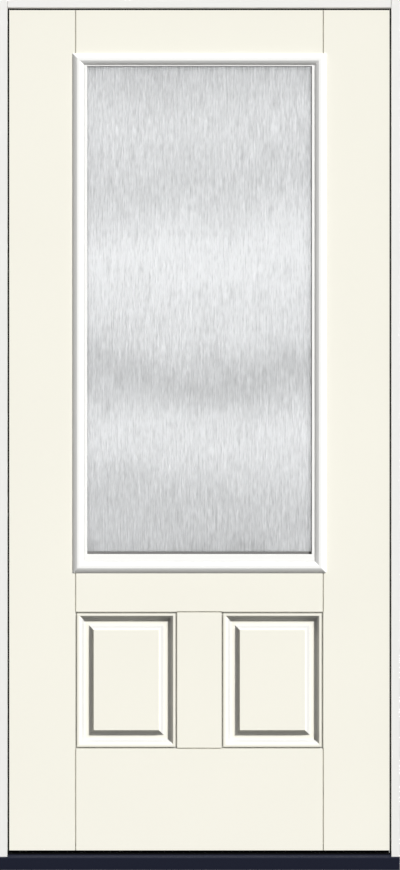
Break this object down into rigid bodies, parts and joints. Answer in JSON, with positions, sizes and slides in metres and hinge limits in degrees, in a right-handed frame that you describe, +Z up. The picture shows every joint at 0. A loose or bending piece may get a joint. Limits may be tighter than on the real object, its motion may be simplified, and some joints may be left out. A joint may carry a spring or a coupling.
{
  "type": "fiberglass entrance door unit",
  "caption": "Inswing entrance door in its frame: smooth moulded leaf with a tall obscure-glass lite over raised panels, jambs, sloping sill, weatherstrips and butt hinges.",
  "frame": {"origin": "underside of the sill, midway between the jambs and midway through the jambs' depth", "axes": "+Z up; +X to the right seen from outside, so the hinges are at -X; +Y inward, the way the leaf opens"},
  "size_m": [0.9524, 0.155, 2.069],
  "materials": {
    "white_frame": "primed and painted white",
    "leaf_skin": "smooth moulded fiberglass, ivory white satin",
    "leaf_edge": "sealed stile and rail edge",
    "foam": "rigid foam",
    "lite_frame": "white satin moulding",
    "glass": "clear sheet",
    "textured_glass": "streaked obscure sheet",
    "spacer": "mill finish",
    "gasket": "grey glazing foam",
    "weatherstrip": "black foam-filled skin",
    "sill_metal": "dark anodised",
    "sill_base": "wood composite",
    "sill_cap": "dark composite",
    "hinge_steel": "satin nickel"
  },
  "bodies": {
    "frame": {"hinge_jamb": "white_frame", "lock_jamb": "white_frame", "head_jamb": "white_frame", "hinge_side_weatherstrip": "weatherstrip", "lock_side_weatherstrip": "weatherstrip", "head_weatherstrip": "weatherstrip", "sill_deck": "sill_metal", "sill_substrate": "sill_base", "sill_cap": "sill_cap", "hinge_corner_pad": "weatherstrip", "lock_corner_pad": "weatherstrip", "frame_hinge_leaf_top": "hinge_steel", "hinge_pin_top": "hinge_steel", "frame_hinge_leaf_middle": "hinge_steel", "hinge_pin_middle": "hinge_steel", "frame_hinge_leaf_bottom": "hinge_steel", "hinge_pin_bottom": "hinge_steel"},
    "leaf": {"exterior_skin": "leaf_skin", "interior_skin": "leaf_skin", "hinge_stile": "leaf_edge", "lock_stile": "leaf_edge", "top_rail": "leaf_edge", "bottom_rail": "leaf_edge", "foam_core": "foam", "exterior_lite_frame": "lite_frame", "interior_lite_frame": "lite_frame", "exterior_gasket": "gasket", "interior_gasket": "gasket", "outer_glass_pane": "textured_glass", "inner_glass_pane": "glass", "glass_spacer": "spacer", "door_bottom_sweep": "weatherstrip", "door_hinge_leaf_top": "hinge_steel", "door_hinge_leaf_middle": "hinge_steel", "door_hinge_leaf_bottom": "hinge_steel"}
  },
  "joints": [
    {"name": "leaf_swing", "type": "hinge", "parent": "frame", "child": "leaf", "pos_m": [-0.45995, 0.065, 1.1], "axis": [0, 0, 1], "range_deg": [0, 120]}
  ]
}
